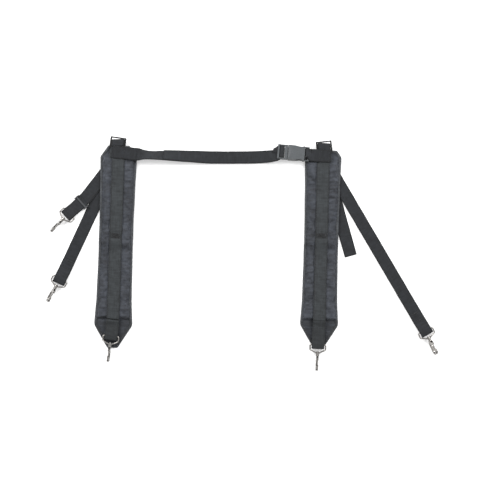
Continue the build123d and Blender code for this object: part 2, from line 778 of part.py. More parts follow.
# ---------------------------------------------------------------- the harness
left_hook_at = make_pad(
    "left", left_pad_x, left_lean, left_top_bar, left_adjuster_turn,
    left_front_at, left_front_heading,
)
right_hook_at = make_pad(
    "right", right_pad_x, right_lean, right_top_bar, right_adjuster_turn,
    right_front_at, right_front_heading,
)
make_adjuster("left", left_top_bar, left_adjuster_turn, left_pivot_x)
make_adjuster("right", right_top_bar, right_adjuster_turn, right_pivot_x)
side_hook_at = make_short_strap()
left_rear_at = make_hooked_strap(
    "left_long_back_strap", left_pivot_x, left_long_heading, left_long_length, level_1
)
right_rear_at = make_hooked_strap(
    "right_long_back_strap", right_pivot_x, right_long_heading, right_long_length, level_2
)
make_strap_tail()
make_hook("left_side_hook", side_hook_at, side_hook_heading, side_hook_roll)
make_hook("left_rear_hook", left_rear_at, left_rear_heading, left_rear_roll)
make_hook("left_front_hook", left_hook_at, left_front_heading, 0)
make_hook("right_rear_hook", right_rear_at, right_rear_heading, right_rear_roll)
make_hook("right_front_hook", right_hook_at, right_front_heading, 0)
make_male()
make_female()
make_chest_strap()
make_chest_tab()
make_short_chest_strap()
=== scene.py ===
# %% [markdown]
# # A padded tool-belt harness
#
# Carpenters clip a harness like this to a heavy tool belt, so that their shoulders
# carry the weight. It lies flat on its back: two padded shoulder straps, a chest strap
# with a side-release buckle, webbing that runs out from under the pads, and five
# swivel snap hooks.
#
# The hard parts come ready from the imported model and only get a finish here. Cloth is
# another matter, because a solid with flat faces never looks sewn. Every pad, tape and
# strap is therefore modelled again, in the space that its plain solid holds.

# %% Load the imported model
import math

import bpy
import numpy as np
from mathutils import Euler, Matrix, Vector, noise
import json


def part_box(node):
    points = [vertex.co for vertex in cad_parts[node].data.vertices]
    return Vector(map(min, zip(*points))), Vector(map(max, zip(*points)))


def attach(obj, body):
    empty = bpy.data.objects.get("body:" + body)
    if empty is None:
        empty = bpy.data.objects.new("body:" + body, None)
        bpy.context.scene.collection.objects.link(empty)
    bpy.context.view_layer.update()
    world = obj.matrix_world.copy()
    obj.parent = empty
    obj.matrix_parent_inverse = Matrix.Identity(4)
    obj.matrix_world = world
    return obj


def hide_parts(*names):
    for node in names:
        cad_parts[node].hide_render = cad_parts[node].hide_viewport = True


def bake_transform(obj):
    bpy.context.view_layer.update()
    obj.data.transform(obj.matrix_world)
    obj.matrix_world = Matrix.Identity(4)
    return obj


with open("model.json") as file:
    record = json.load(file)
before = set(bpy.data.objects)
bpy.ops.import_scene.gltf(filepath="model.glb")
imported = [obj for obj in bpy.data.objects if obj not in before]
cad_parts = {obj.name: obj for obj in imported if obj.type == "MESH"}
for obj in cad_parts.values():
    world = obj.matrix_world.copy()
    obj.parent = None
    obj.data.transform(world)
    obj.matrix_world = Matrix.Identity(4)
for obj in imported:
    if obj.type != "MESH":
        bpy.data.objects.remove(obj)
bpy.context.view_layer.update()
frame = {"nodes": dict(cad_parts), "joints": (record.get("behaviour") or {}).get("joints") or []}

joints = {joint["name"]: joint for joint in frame["joints"]}
print("packed nodes:", len(frame["nodes"]), "joints:", len(joints))

# %% [markdown]
# ## Sizes
#
# Blender works in metres, but cloth is easier to think about in millimetres. All the
# shaping below is done in millimetres, and one factor turns it into metres at the end.
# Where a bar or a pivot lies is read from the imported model's joints.

# %% Sizes and places
mm = 0.001
web_width = 25.0
web_thick = 1.6
half_web = web_thick / 2
up = Vector((0, 0, 1))

level_1 = half_web            # lowest layer of webbing on the floor
level_2 = 2.6                 # second layer, on top of it
pad_lift = 3.9                # the pads lie over two layers
pad_face = 10.0               # a pad's face above its underside
pad_tip = -188.5              # the foot of a pad, along it
strip_mid = pad_face + half_web   # middle of a pad's face webbing above its underside
adjuster_height = 9.7         # the bars of an adjuster above the floor
bar_wrap = 2.4                # middle of the webbing from the middle of an adjuster bar
bar_pitch = 10.2              # from one bar of an adjuster to the next
hook_height = 7.9             # the bar that a hook hangs on above the floor
hook_wrap = 2.5               # middle of the webbing from the middle of that bar
tab_height = 16.3             # middle of what is sewn on a pad's face webbing
tack_dip = 1.0                # the bar tacks pull the webbing down into the foam
hem_slack = 7.0               # empty room in a hem beyond the bar
front_slack = 5.5             # the same where a pad's webbing holds its hook
pivot_clear = 12.9            # from the back straps' pivot to the webbing over the adjuster
left_turn, right_turn = -8.0, 6.0   # how far each adjuster is turned on the floor


def pin_of(joint):
    """The place of a joint, in millimetres."""
    return Vector(joints[joint]["pos_m"]) / mm


def way(heading):
    """Unit vector on the floor, degrees from -Y towards -X."""
    turn = math.radians(heading)
    return Vector((-math.sin(turn), -math.cos(turn), 0))


def line_between(start, end):
    """Length and heading from one place to another, seen from above."""
    length = math.dist((start.x, start.y), (end.x, end.y))
    return length, math.degrees(math.atan2(start.x - end.x, start.y - end.y))


def ramp(value, start, reach):
    """0 up to start, then a straight rise to 1 over reach."""
    return min(max((value - start) / reach, 0), 1)


def eased(share):
    """A share from 0 to 1 with a soft start and a soft end."""
    return share * share * (3 - 2 * share)


print("chest fold at", tuple(round(v, 1) for v in pin_of("left_pad_fold")))

# %% [markdown]
# ## Wiring materials with Python's own operators
#
# A procedural material is a tree of small nodes, and most of them do arithmetic.
# Wiring each one by hand hides the idea, so the class `Wire` wraps a socket and gives
# it Python's operators: `1 - mask` or `ribs * 0.5` adds the Math nodes by itself. The
# reflected operators are there so that a plain number may also stand on the left.
# Everything that isn't arithmetic comes from one method, `Finish.node`.

# %% Sockets that do arithmetic
class Wire:
    """A socket of a finish, with Python's operators on it."""

    def __init__(self, finish, socket):
        self.finish = finish
        self.socket = socket

    def math(self, operation, *values):
        return self.finish.node("ShaderNodeMath", {"operation": operation}, dict(enumerate(values)))

    def __add__(self, other):
        return self.math("ADD", self, other)

    def __radd__(self, other):
        return self.math("ADD", other, self)

    def __sub__(self, other):
        return self.math("SUBTRACT", self, other)

    def __rsub__(self, other):
        return self.math("SUBTRACT", other, self)

    def __mul__(self, other):
        return self.math("MULTIPLY", self, other)

    def __rmul__(self, other):
        return self.math("MULTIPLY", other, self)

    def __truediv__(self, other):
        return self.math("DIVIDE", self, other)

    def __abs__(self):
        return self.math("ABSOLUTE", self)

    def __floor__(self):
        return self.math("FLOOR", self)

    def clamp(self):
        """Limited to the range 0 to 1."""
        return self.finish.node("ShaderNodeClamp", {}, {"Value": self})

    def wave(self, period):
        """A smooth wave from 0 to 1 that repeats every period."""
        return self.math("COSINE", self * (2 * math.pi / period)) * 0.5 + 0.5


# %% One method for every other node
class Finish:
    """A material or a world under construction, and the shader at its end."""

    def __init__(self, name, kind="materials", shader="Principled BSDF", **fixed):
        self.material = getattr(bpy.data, kind).new(name)
        self.material.use_nodes = True
        self.tree = self.material.node_tree
        self.shader = self.tree.nodes[shader]
        for socket, value in fixed.items():
            self.shader.inputs[socket.replace("_", " ")].default_value = value

    def node(self, kind, settings=None, values=None, output=0):
        made = self.tree.nodes.new(kind)
        for name, value in (settings or {}).items():
            if name == "stops":
                for at, shade in value:
                    stop = made.color_ramp.elements.new(at)
                    stop.color = shade
                made.color_ramp.elements.remove(made.color_ramp.elements[0])
                made.color_ramp.elements.remove(made.color_ramp.elements[-1])
            else:
                setattr(made, name, value)
        for name, value in (values or {}).items():
            if isinstance(value, Wire):
                self.tree.links.new(value.socket, made.inputs[name])
            else:
                made.inputs[name].default_value = value
        return Wire(self, made.outputs[output])

    def noise(self, where, scale, detail=3.0, roughness=0.55):
        """Cloudy noise from 0 to 1, its scale in cycles per unit of where."""
        return self.node(
            "ShaderNodeTexNoise", {"noise_dimensions": "3D"},
            {"Vector": where, "Scale": scale, "Detail": detail, "Roughness": roughness},
        )

    def mix(self, share, first, second):
        """A colour between two colours."""
        return self.node("ShaderNodeMix", {"data_type": "RGBA"}, {0: share, 6: first, 7: second}, 2)

    def stretch(self, where, scale):
        """Coordinates stretched by a different factor along each axis."""
        return self.node("ShaderNodeVectorMath", {"operation": "MULTIPLY"}, {0: where, 1: scale})

    def own_place(self):
        """The piece's own coordinates, in metres."""
        return self.node("ShaderNodeTexCoord", {}, {}, 3)

    def own_mm(self):
        """The piece's own coordinates, in millimetres."""
        return self.stretch(self.own_place(), (1 / mm, 1 / mm, 1 / mm))

    def axis(self, where, which):
        """One number out of coordinates: 0 is x, 1 is y and 2 is z."""
        return self.node("ShaderNodeSeparateXYZ", {}, {"Vector": where}, which)

    def foot(self, start=-0.129, fade=0.008):
        """1 on the feet of the pads and 0 above them, both lengths in metres."""
        return ((start - self.axis(self.own_place(), 1)) / fade).clamp()

    def feed(self, socket, wire):
        """Links a wire to a socket of the shader."""
        self.tree.links.new(wire.socket, self.shader.inputs[socket])

    def bump(self, height, strength, distance):
        """Turns a height into the shader's normal, its distance in metres."""
        normal = self.node(
            "ShaderNodeBump", {}, {"Height": height, "Strength": strength, "Distance": distance}
        )
        self.feed("Normal", normal)


def shade(red, green, blue):
    """A colour as seen on a screen, 0 to 255, turned into the light that it stands for."""
    steps = [channel / 255 for channel in (red, green, blue)]
    light = [s / 12.92 if s <= 0.04045 else ((s + 0.055) / 1.055) ** 2.4 for s in steps]
    return (*light, 1.0)


def times(tone, factor):
    """A tone made darker or lighter by a factor."""
    return tuple(min(1, channel * factor) for channel in tone[:3]) + (1,)


print("materials can be wired")

# %% [markdown]
# ## Webbing
#
# Harness webbing is woven from heavy yarn in narrow ribs that run along the strap, and
# the weft crosses them in short steps, half a step later on every second rib. The weave
# has to follow each strap round its bars, so it can't be laid on in world space. Each
# strap carries a map named `run` instead, in millimetres across and along, and the
# ribs are worked out from that.

# %% Woven finishes that follow the strap
def woven_finish(name, yarn, rib, step, depth, edge_shade=0.0, foot_darkening=0.0, **fixed):
    """A ribbed weave along the map 'run', its rib and step in millimetres.

    A share of painted shade darkens both edges of a strap, where it rounds over, and another share darkens
    the feet of the pads.
    """
    finish = Finish(name, **fixed)
    run = finish.node("ShaderNodeUVMap", {"uv_map": "run"})
    across, along = finish.axis(run, 0), finish.axis(run, 1)
    column = math.floor(across / rib)
    ribs = 1 - across.wave(rib)
    floats = (along + column * (step / 2)).wave(step)
    weave = ribs * (floats * 0.45 + 0.55)
    streaks = finish.noise(finish.stretch(run, (0.35, 0.05, 1)), 1.0, 4)
    bars = finish.noise(finish.stretch(run, (0.06, 0.25, 1)), 1.0, 3)
    cloud = finish.noise(run, 0.06, 3)
    share = weave * 0.5 + streaks * 0.9 + bars * 0.9 + cloud * 0.7 - 1.04
    # painted shade: both edges of the strap are made darker where it rounds over
    if edge_shade:
        side = web_width + half_web         # one face of the strap and one of its round edges
        place = across - side * math.floor(across / side)
        edge_wide, edge_fade = 2.6, 1.4
        from_middle = abs(place - (web_width - web_thick) / 2)
        edge = ((from_middle - (web_width / 2 - edge_wide)) / edge_fade).clamp()
        share = share * (1 - edge * edge_shade)
    # the feet of the pads are made darker
    if foot_darkening:
        share = share - finish.foot() * foot_darkening
    finish.feed("Base Color", finish.mix(share.clamp(), times(yarn, 0.38), times(yarn, 1.7)))
    finish.feed("Roughness", 0.72 + streaks * 0.2)
    finish.bump(weave + streaks * 0.35, 0.6, depth)
    return finish.material


web_weave = {"rib": 1.3, "step": 2.2, "depth": 0.00025, "Sheen_Roughness": 0.45, "Specular_IOR_Level": 0.3}
webbing = woven_finish(
    "webbing_black", shade(26, 28, 31), edge_shade=0.9, Sheen_Weight=0.08, **web_weave
)
strip_webbing = woven_finish(
    "webbing_on_pads", shade(41, 44, 46), edge_shade=0.4, foot_darkening=0.25, Sheen_Weight=0.12, **web_weave
)
tape = woven_finish(
    "binding_tape_slate", shade(58, 60, 63), rib=0.9, step=1.4, depth=0.00018, foot_darkening=0.35,
    Sheen_Weight=0.25, Sheen_Roughness=0.4, Specular_IOR_Level=0.3,
)
thread = woven_finish(
    "sewing_thread_black", shade(21, 22, 24), rib=0.5, step=0.9, depth=0.0001,
    Sheen_Weight=0.2, Sheen_Roughness=0.3, Specular_IOR_Level=0.45,
)
print("woven finishes:", webbing.name, tape.name, thread.name)

# %% [markdown]
# ## Pad cloth
#
# The pads are covered in a plain woven nylon, finer than the webbing and a little
# lighter and cooler in tone. Its grid doesn't have to follow a bar, so the pad's own
# coordinates will do. Two crossing waves make the grid, a coarse cloud makes the tone
# drift, painted shade and light of soft folds streak it, and fine creases catch the light.

# %% Pad cloth
def cloth_finish(name, tone, grid, **fixed):
    """A plain weave in the piece's own coordinates, grid in millimetres."""
    finish = Finish(name, **fixed)
    place = finish.own_mm()
    checks = finish.axis(place, 0).wave(grid) * 0.5 + finish.axis(place, 1).wave(grid) * 0.5
    cloud = finish.noise(place, 0.03, 3)
    slubs = finish.noise(finish.stretch(place, (0.3, 0.06, 0.3)), 1.0, 4)
    creases = finish.noise(finish.stretch(place, (0.05, 0.16, 0.1)), 1.0, 5, 0.6)
    # painted shade and light of soft folds, as long streaks in the colour
    fold_shading = finish.noise(finish.stretch(place, (0.05, 0.2, 0.1)), 1.0, 3)
    share = checks * 0.35 + slubs * 0.85 + cloud * 1.2 + fold_shading * 1.7 - 1.62 - finish.foot() * 0.35
    finish.feed("Base Color", finish.mix(share.clamp(), times(tone, 0.42), times(tone, 1.6)))
    finish.feed("Roughness", 0.62 + slubs * 0.25)
    finish.bump(checks * 0.25 + slubs * 0.3 + creases * 1.6, 0.55, 0.0006)
    return finish.material


pad_cloth = cloth_finish(
    "pad_cloth_slate", shade(43, 46, 52), grid=0.7,
    Sheen_Weight=0.2, Sheen_Roughness=0.4, Specular_IOR_Level=0.35,
)
lining_cloth = cloth_finish(
    "lining_cloth_black", shade(42, 44, 48), grid=1.1,
    Sheen_Weight=0.2, Sheen_Roughness=0.5, Specular_IOR_Level=0.3,
)
print("cloth finishes:", pad_cloth.name, lining_cloth.name)

# %% [markdown]
# ## Metal and plastic
#
# The hooks are cast zinc with a nickel plate, which mirrors the room but shows soft
# swirls where hands have rubbed it. The adjusters are steel wire under black lacquer.
# Buckle and slider are injection moulded, with the faint pebbled texture that a mould
# leaves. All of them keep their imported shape, and each finish uses the piece's own
# coordinates, so nothing has to be unwrapped.
#
# A packed edge is perfectly sharp, and no real one is. A bevel of a quarter of a
# millimetre on each sharp edge gives the light something to catch.

# %% Hardware finishes
def hard_finish(name, tone, worn, rough, grain, depth, **fixed):
    """Metal or plastic: two tones, a range of roughness, a grain in millimetres, its depth in metres."""
    finish = Finish(name, **fixed)
    place = finish.own_mm()
    swirls = finish.noise(place, 0.12, 4, 0.6)
    pebbles = finish.noise(place, 1 / grain, 3, 0.6)
    scuffs = finish.noise(finish.stretch(place, (0.3, 2.2, 0.9)), 1.0, 5, 0.65)
    mask = finish.node(
        "ShaderNodeValToRGB", {"stops": [(0.42, (0, 0, 0, 1)), (0.72, (1, 1, 1, 1))]}, {"Fac": scuffs}
    )
    finish.feed("Base Color", finish.mix(mask * 0.6 + swirls * 0.4, tone, worn))
    finish.feed("Roughness", rough[0] + (swirls * 0.5 + mask * 0.5) * (rough[1] - rough[0]))
    finish.bump(pebbles + mask * 0.3, 0.4, depth)
    return finish.material


nickel = hard_finish(
    "nickel_plate", (0.19, 0.182, 0.172, 1), (0.37, 0.358, 0.342, 1),
    rough=(0.14, 0.28), grain=0.8, depth=0.00004, Metallic=1.0,
)
spring_wire = hard_finish(
    "spring_steel", (0.42, 0.41, 0.40, 1), (0.60, 0.58, 0.55, 1),
    rough=(0.25, 0.45), grain=0.5, depth=0.00003, Metallic=1.0,
)
black_lacquer = hard_finish(
    "black_lacquer", shade(8, 8, 9), shade(20, 20, 21), rough=(0.35, 0.5), grain=1.0, depth=0.00006,
    Coat_Weight=0.05, Coat_Roughness=0.3, Specular_IOR_Level=0.25,
)
moulded = {"grain": 0.45, "depth": 0.00007, "Specular_IOR_Level": 0.35}
buckle_acetal = hard_finish(
    "buckle_acetal_grey", shade(50, 53, 55), shade(72, 75, 78), rough=(0.42, 0.60), **moulded
)
slider_acetal = hard_finish(
    "slider_acetal_grey", shade(44, 45, 47), shade(62, 64, 67), rough=(0.40, 0.58), **moulded
)
print("hard finishes:", nickel.name, black_lacquer.name, buckle_acetal.name)

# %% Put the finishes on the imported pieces
hooks = [node[: -len("_loop")] for node in frame["nodes"] if node.endswith("_hook_loop")]
hard_pieces = {"buckle_male_frame": buckle_acetal, "buckle_spring_arms": buckle_acetal,
               "buckle_female_housing": buckle_acetal, "left_strap_slider": slider_acetal,
               "left_adjuster": black_lacquer, "right_adjuster": black_lacquer}
for hook in hooks:
    for part in ("loop", "body", "gate"):
        hard_pieces[f"{hook}_{part}"] = nickel
    for part in ("gate_pin", "gate_spring"):
        hard_pieces[f"{hook}_{part}"] = spring_wire
for node, finish in hard_pieces.items():
    piece = frame["nodes"][node]
    for place in piece.material_slots:
        place.material = finish
    weld = piece.modifiers.new("weld", "WELD")
    weld.merge_threshold = 0.005 * mm
    soften = piece.modifiers.new("soft_edges", "BEVEL")
    soften.width = 0.25 * mm
    soften.segments = 2
    soften.limit_method = "ANGLE"
    soften.angle_limit = math.radians(35)
print("hard pieces finished:", len(hard_pieces))

# %% [markdown]
# ## Making a band of webbing
#
# A strap is a long thin solid with rounded edges. It is built as a row of cross
# sections: each has a middle, a direction across the strap and, from the path, a
# direction along it. Straight lengths, bends and loops round a bar all become one list
# of such stations. The edges wander by a fraction of a millimetre, because no woven
# strap is as straight as a ruler.

# %% Paths
def arc(centre, radius, start, end, steps=8):
    """Points round a bar, angles in degrees, as (distance, height)."""
    turns = [math.radians(start + (end - start) * n / steps) for n in range(steps + 1)]
    return [(centre[0] + radius * math.cos(t), centre[1] + radius * math.sin(t)) for t in turns]


def softened(points, radius, steps=5):
    """The same path with each corner turned into a short curve."""
    points = [Vector(p) for p in points]
    path = [points[0]]
    for before, corner, after in zip(points, points[1:], points[2:]):
        back, ahead = before - corner, after - corner
        start = corner + back.normalized() * min(radius, back.length / 2)
        end = corner + ahead.normalized() * min(radius, ahead.length / 2)
        for n in range(steps + 1):
            t = n / steps
            path.append(start * (1 - t) ** 2 + corner * 2 * t * (1 - t) + end * t ** 2)
    return path + [points[-1]]


def evenly(stations, pitch):
    """Stations at an even pitch along a path of (middle, across) pairs."""
    middles = np.array([tuple(middle) for middle, across in stations])
    sideways = np.array([tuple(across) for middle, across in stations])
    steps = np.linalg.norm(np.diff(middles, axis=0), axis=1)
    travelled = np.concatenate([[0], np.cumsum(steps)])
    wanted = np.linspace(0, travelled[-1], max(3, int(travelled[-1] / pitch)))
    middles = np.stack([np.interp(wanted, travelled, middles[:, k]) for k in range(3)], 1)
    sideways = np.stack([np.interp(wanted, travelled, sideways[:, k]) for k in range(3)], 1)
    sideways /= np.linalg.norm(sideways, axis=1)[:, None]
    return middles, sideways, wanted


def upright(origin, heading, profile):
    """Stations on an upright plane through an origin, from a profile of (distance, height)."""
    ahead = way(heading)
    across = ahead.cross(up)
    return [(Vector((origin.x, origin.y, 0)) + ahead * p[0] + up * p[1], across) for p in profile]


# %% A mesh from rings of points
def mesh_piece(name, points, faces, finish, uvs=None):
    """A smooth mesh from points in millimetres; uvs holds one pair for each point of each face."""
    mesh = bpy.data.meshes.new(name)
    mesh.from_pydata([tuple(float(c) * mm for c in p) for p in points], [], faces)
    if uvs is not None:
        layer = mesh.uv_layers.new(name="run")
        layer.data.foreach_set("uv", [c for face in uvs for pair in face for c in pair])
    mesh.materials.append(finish)
    mesh.polygons.foreach_set("use_smooth", [True] * len(mesh.polygons))
    mesh.update()
    piece = bpy.data.objects.new(name, mesh)
    bpy.context.scene.collection.objects.link(piece)
    return piece


def skin(first, rings, girth, travelled, closed=False, turned=False):
    """Faces between rings of points, and where each of their corners lies on the map 'run'.

    Girth holds the distances round a ring, and travelled those along the piece. Closed joins
    the last ring to the first, and turned makes the faces look the other way.
    """
    faces, uvs, ring = [], [], len(girth) - 1
    for row in range(rings if closed else rings - 1):
        here, after = first + row * ring, first + (row + 1) % rings * ring
        low, high = travelled[row], travelled[row + 1]
        for k in range(ring):
            beside = (k + 1) % ring
            corners = [
                (here + k, (girth[k], low)), (here + beside, (girth[k + 1], low)),
                (after + beside, (girth[k + 1], high)), (after + k, (girth[k], high)),
            ]
            if turned:
                corners = corners[:1] + corners[:0:-1]
            faces.append(tuple(corner for corner, spot in corners))
            uvs.append(tuple(spot for corner, spot in corners))
    return faces, uvs


# %% The section of a strap
def edge_section(width, thick, flats=10, turns=(0.7, 1.57, 2.44)):
    """Points round a strap's cross section, as (across, over); its edges turn by these angles."""
    bend = thick / 2
    inner = width / 2 - bend
    top = [(u, bend) for u in np.linspace(inner, -inner, flats)]
    left = [(-inner - bend * math.sin(a), bend * math.cos(a)) for a in turns]
    bottom = [(u, -bend) for u in np.linspace(-inner, inner, flats)]
    right = [(inner + bend * math.sin(a), bend * math.cos(a)) for a in reversed(turns)]
    return top + left + bottom + right


def girth_of(section):
    """Distances round a section, from its first point to each point and back again."""
    girth = [0.0]
    for first, second in zip(section, section[1:] + section[:1]):
        girth.append(girth[-1] + math.dist(first, second))
    return girth


# %% Bands
def band(name, stations, finish=webbing, pitch=2.0, wander=0.25, taper=None):
    """A strap along its stations; taper gives the share of the width at a distance from the start."""
    middles, sideways, travelled = evenly(stations, pitch)
    section = edge_section(web_width, web_thick)
    ahead = np.gradient(middles, axis=0)
    ahead /= np.linalg.norm(ahead, axis=1)[:, None]
    over = np.cross(sideways, ahead)
    over /= np.linalg.norm(over, axis=1)[:, None]
    seed = sum(map(ord, name))
    points, ring, girth = [], len(section), girth_of(section)
    for middle, side, lift, at in zip(middles, sideways, over, travelled):
        share = taper(at) if taper else 1.0
        slow = noise.noise((at * 0.05, seed, 0))
        quick = noise.noise((at * 0.3, seed, 5))
        shift = wander * slow + wander * 0.4 * quick
        for u, v in section:
            points.append(middle + side * (u * share + shift) + lift * v)
    faces, uvs = skin(0, len(middles), girth, travelled, turned=True)
    last = len(points) - ring
    faces += [tuple(range(ring)), tuple(last + k for k in reversed(range(ring)))]
    uvs += [tuple(section), tuple(reversed(section))]
    return mesh_piece(name, points, faces, finish, uvs)


def round_end(at, reach=web_width / 2, narrowest=0.12):
    """Taper of a strap whose first end is a half circle."""
    gone = min(at / reach, 1.0)
    return max(narrowest, math.sqrt(max(0.0, 1 - (1 - gone) ** 2)))


# %% What each finished piece says
def dress(piece, body, slot, *nodes):
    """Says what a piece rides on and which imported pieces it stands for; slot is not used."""
    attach(piece, body)
    if nodes:
        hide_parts(*nodes)


print("bands can be made")

# %% [markdown]
# ## Stitches
#
# At arm's length a seam is a dotted line, and close up every stitch is a short thread
# that dives into the cloth at both ends. A bump map would flatten out at a glancing
# angle, so each stitch is a small spindle of real geometry, and a whole seam is one
# mesh.

# %% Rows of stitches
stitch_pitch = 3.3


def stitch_rows(name, body, rows, pitch=stitch_pitch, length=2.7, radius=0.34, sink=0.3):
    """One mesh of stitches; a row is a list of (place, normal) pairs in millimetres."""
    points, faces, uvs = [], [], []
    rings = [(-1.0, 0.3), (-0.6, 0.85), (0.0, 1.0), (0.6, 0.85), (1.0, 0.3)]   # (along, fatness)
    sides = 6
    corners = [2 * math.pi * k / sides for k in range(sides)]
    for row in rows:
        places = np.array([tuple(place) for place, normal in row])
        normals = np.array([tuple(normal) for place, normal in row])
        travelled = np.concatenate([[0], np.cumsum(np.linalg.norm(np.diff(places, axis=0), axis=1))])
        count = max(1, int(travelled[-1] / pitch))
        for n in range(count):
            at = (n + 0.5) * travelled[-1] / count
            ends = [
                Vector([np.interp(at + half, travelled, places[:, k]) for k in range(3)])
                for half in (-length / 2, length / 2)
            ]
            ahead = (ends[1] - ends[0]).normalized()
            lift = Vector([np.interp(at, travelled, normals[:, k]) for k in range(3)]).normalized()
            side = ahead.cross(lift)
            middle = (ends[0] + ends[1]) / 2
            first = len(points)
            for t, fat in rings:
                for turn in corners:
                    points.append(
                        middle + ahead * (t * length / 2) - lift * (sink * t * t)
                        + (side * math.cos(turn) + lift * math.sin(turn) * 0.8) * radius * fat
                    )
            more_faces, more_uvs = skin(first, len(rings), range(sides + 1), range(len(rings)))
            faces += more_faces
            uvs += more_uvs
            last = len(points) - sides
            for start, order in ((first, reversed(range(sides))), (last, range(sides))):
                faces.append(tuple(start + k for k in order))
                uvs.append(tuple((k, 0) for k in range(sides)))
    stitches = mesh_piece(name, points, faces, thread, uvs)
    dress(stitches, body, "thread")
    return stitches


print("stitches can be sewn")

# %% [markdown]
# ## Shoulder pads
#
# A pad is a long slab of foam in a cloth cover. Tape binds its edge, and a strip of
# webbing is sewn down its middle, so the cover is held there and swells beside it. The
# foam stops above the foot, where the cloth alone tapers to the hook.
#
# A slab with a rounded edge would look moulded. The cover starts as a neat grid, the
# seams are pinned, and a short cloth simulation lets a slightly larger cloth be blown
# up between them. The wrinkles that cross the side channels come out of that by
# themselves. The result is applied to the mesh, with every move capped.

# %% The plan of a pad
class Pad:
    """Where one pad lies: along runs up the pad, and across goes to the right.

    Lean is in degrees, rise is how far the pad reaches past the adjuster's lower bar, and
    foam_foot is where the foam ends.
    """

    def __init__(self, side, middle, lean, rise, foam_foot):
        self.side = side
        self.body = f"{side}_pad_group"
        self.middle = middle
        self.bar = pin_of(f"{side}_adjuster_tilt").y
        self.top = self.bar + rise
        self.foam_foot = foam_foot
        turn = math.radians(lean)
        self.ahead = Vector((math.sin(turn), math.cos(turn), 0))
        self.across = Vector((self.ahead.y, -self.ahead.x, 0))

    def place(self, across, along, height):
        """A place on the pad, in the model's own directions."""
        return Vector((self.middle, 0, 0)) + self.across * across + self.ahead * along + up * height

    def half(self, along, shoulder=193.0, slope=0.65):
        """Half the width of the pad, which narrows by the slope above its shoulder."""
        narrowed = slope * (self.top - shoulder)
        outline = [
            (pad_tip, 9.4), (-185.5, 11.6), (-144.0, 37.0), (-139.0, 38.0), (-95.0, 35.2), (-20.0, 34.2),
            (60.0, 34.0), (140.0, 35.1), (shoulder - 1, 36.4), (shoulder + 1, 35.8),
            (self.top - 1, 36.6 - narrowed), (self.top, 35.5 - narrowed),
        ]
        return float(np.interp(along, *zip(*outline)))

    def lift(self, along, start=5.0, reach=21.0):
        """Height of the underside, which lies over the back straps at the top."""
        return pad_lift * eased(ramp(along, start, reach))


pads = [
    Pad("left", middle=-252.9, lean=2.0, rise=5.0, foam_foot=-128.5),
    Pad("right", middle=158.3, lean=1.4, rise=3.5, foam_foot=-132.0),
]
print("pad tops at", [round(pad.top, 1) for pad in pads])


# %% The cushion before it swells
cover_edge, cover_flat = 1.6, 2.0      # height of the cover at its edge, and where it has no foam
foam_rise = 7.6                        # what the foam adds to that
groove_aside, groove_half = 13.6, 3.0  # the grooves beside the face webbing, and half their width
groove_left, groove_right = 1.0, 0.5   # how deep the two grooves are
foot_crease, crease_half = 1.8, 3.0    # the crease across the pad where the foam ends
held_half = 13.5                       # how far beside the middle the webbing holds the cover down


def cushion_height(pad, across, along):
    """Height of the cover above the pad's underside, before the simulation."""
    edge = pad.half(along) - 2.5 - abs(across)
    side = max(0.0, 1 - min(edge / 11, 1)) ** 2.2
    foot = ramp(along, pad.foam_foot - 1, 3.5)
    head = ramp(pad.bar - 10 - along, 0, 14)
    full = cover_flat + foam_rise * eased(foot) * eased(head)
    depth = groove_left if across < 0 else groove_right
    groove = depth * max(0.0, 1 - abs(abs(across) - groove_aside) / groove_half)
    crease = foot_crease * max(0.0, 1 - abs(along - pad.foam_foot + 2) / crease_half)
    crowned = cover_edge + (full - cover_edge) * (1 - side)
    return crowned - groove * foot * head - crease * min(edge / 5, 1)


def make_cushion(pad, columns=32, pitch=2.8, inset=1.5, lining_height=0.15):
    """A closed grid: the cover, then the lining under it, and a group of what stays sewn down."""
    low, high = pad_tip + 1.0, pad.top - 1.0
    rows = int((high - low) / pitch)
    points, sewn = [], []
    for lining in (False, True):
        for row in range(rows + 1):
            along = low + (high - low) * row / rows
            reach = pad.half(along) - inset
            for column in range(columns + 1):
                across = reach * (2 * column / columns - 1)
                height = lining_height if lining else cushion_height(pad, across, along)
                points.append(pad.place(across, along, pad.lift(along) + height))
                rim = column in (0, columns) or row in (0, rows)
                ends = along < pad.foam_foot - 6 or along > pad.bar - 16
                sewn.append(1.0 if lining or rim or ends or abs(across) < held_half else 0.0)
    cover = len(points) // 2
    wide = columns + 1
    faces = []
    for row in range(rows):
        for column in range(columns):
            a = row * wide + column
            faces.append((a, a + 1, a + 1 + wide, a + wide))
            faces.append((cover + a, cover + a + wide, cover + a + 1 + wide, cover + a + 1))
    for row in range(rows):
        for a, turn in ((row * wide, 1), (row * wide + columns, -1)):
            faces.append((a, a + wide, cover + a + wide, cover + a)[::turn])
    for column in range(columns):
        for a, turn in ((column, -1), (rows * wide + column, 1)):
            faces.append((a, a + 1, cover + a + 1, cover + a)[::-turn])
    piece = mesh_piece(f"{pad.side}_pad_cushion", points, faces, pad_cloth)
    piece.data.materials.append(lining_cloth)
    for face in piece.data.polygons:
        if all(corner >= cover for corner in face.vertices):
            face.material_index = 1
    group = piece.vertex_groups.new(name="sewn")
    for index, weight in enumerate(sewn):
        group.add([index], weight, "REPLACE")
    return piece, cover


